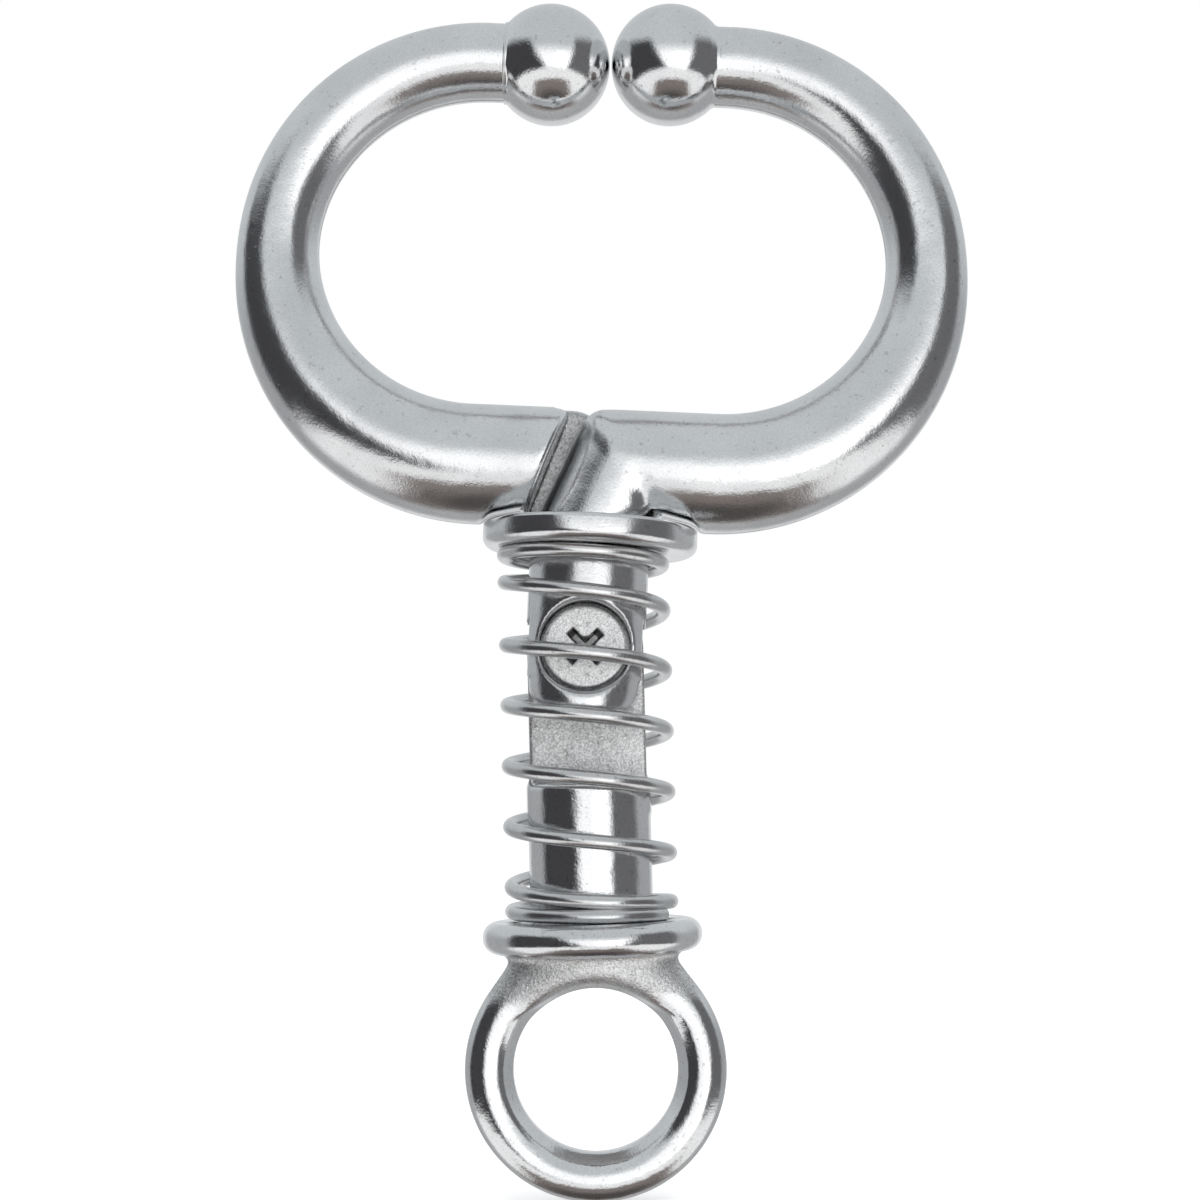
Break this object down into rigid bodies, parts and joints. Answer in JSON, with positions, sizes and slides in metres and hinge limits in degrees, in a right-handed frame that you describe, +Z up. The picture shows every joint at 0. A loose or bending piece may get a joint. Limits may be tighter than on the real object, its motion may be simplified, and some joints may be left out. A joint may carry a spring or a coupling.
{
  "type": "spring-loaded nose lead",
  "caption": "Hand-held livestock nose clip: curved arms with ball tips, shut by a sprung collar on the legs, with a rope eye below the handle.",
  "frame": {"origin": "centre of the rope eye, on the handle's axis", "axes": "+Z up the handle from the eye to the ball tips, +X to the right with the screw head facing -Y, the eye's hole runs along Y"},
  "size_m": [0.1109, 0.0328, 0.1815],
  "materials": {
    "handle_steel": "cast stainless steel, polished shaft, flange and eye, blasted neck and tongue",
    "arm_steel": "cast stainless steel, polished, with fine pits and hairlines",
    "ball_steel": "mirror-polished stainless steel",
    "screw_steel": "matte stainless head with a cross recess",
    "collar_steel": "turned and polished stainless steel",
    "spring_wire": "drawn spring wire, satin grey"
  },
  "bodies": {
    "handle": {"handle": "handle_steel", "spring": "spring_wire"},
    "pivot": {"pivot_screw": "screw_steel"},
    "left_jaw": {"left_arm": "arm_steel", "left_ball": "ball_steel"},
    "right_jaw": {"right_arm": "arm_steel", "right_ball": "ball_steel"},
    "collar": {"collar": "collar_steel"}
  },
  "joints": [
    {"name": "head_swing", "type": "hinge", "parent": "handle", "child": "pivot", "pos_m": [0, 0, 0.0625], "axis": [0, 1, 0], "range_deg": [-7.8, 0]},
    {"name": "collar_slide", "type": "slide", "parent": "pivot", "child": "collar", "axis": [-0.068, 0, -0.9977], "range_m": [0, 0.0198], "stiffness_N_per_m": 2600, "springref_m": -0.01, "deforming": ["spring"]},
    {"name": "left_jaw_open", "type": "hinge", "parent": "pivot", "child": "left_jaw", "pos_m": [0, 0, 0.0625], "axis": [0, -1, 0], "range_deg": [0, 12.1]},
    {"name": "right_jaw_open", "type": "hinge", "parent": "pivot", "child": "right_jaw", "pos_m": [0, 0, 0.0625], "axis": [0, 1, 0], "range_deg": [0, 12.1]}
  ],
  "couplings": [
    {"joint": "left_jaw_open", "follows": "collar_slide", "rad_per_m": 10.578},
    {"joint": "right_jaw_open", "follows": "collar_slide", "rad_per_m": 10.578}
  ]
}
